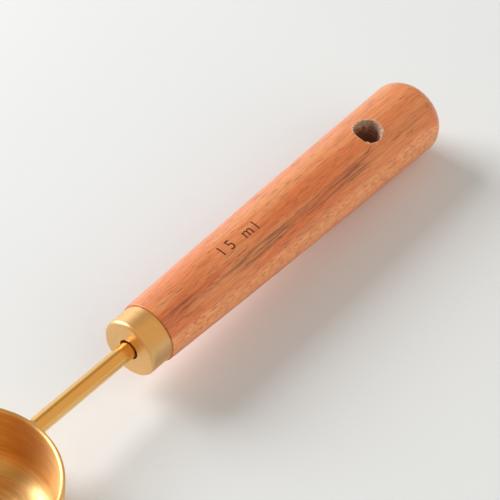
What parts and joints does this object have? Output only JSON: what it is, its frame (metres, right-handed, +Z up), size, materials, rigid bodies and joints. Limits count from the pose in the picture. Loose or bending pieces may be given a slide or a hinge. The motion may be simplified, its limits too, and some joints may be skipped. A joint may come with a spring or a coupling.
{
  "type": "measuring spoon",
  "caption": "Measuring spoon: a round flat-bottomed metal cup on a thin rod, with a metal ferrule and a tapered wooden handle that has a hanging hole.",
  "frame": {"origin": "on the table, under the middle of the spoon's length", "axes": "+X along the spoon to the handle's tail, +Y to the spoon's left seen from the bowl, +Z up; the spoon lies as it rests, tipped back about 1.8 degrees onto the bowl's heel and the handle's tail"},
  "size_m": [0.166, 0.04, 0.0186],
  "materials": {
    "bowl_brass": "satin, brushed round the bowl",
    "rod_brass": "satin",
    "braze": "polished over",
    "ferrule_brass": "satin, turned",
    "glue": "cured clear glue",
    "handle_wood": "thin satin oil over open-pored reddish wood"
  },
  "bodies": {
    "root": {"bowl": "bowl_brass", "stem_rod": "rod_brass", "braze_joint": "braze", "ferrule": "ferrule_brass", "ferrule_glue": "glue", "handle": "handle_wood", "tang_glue": "glue"}
  },
  "joints": []
}
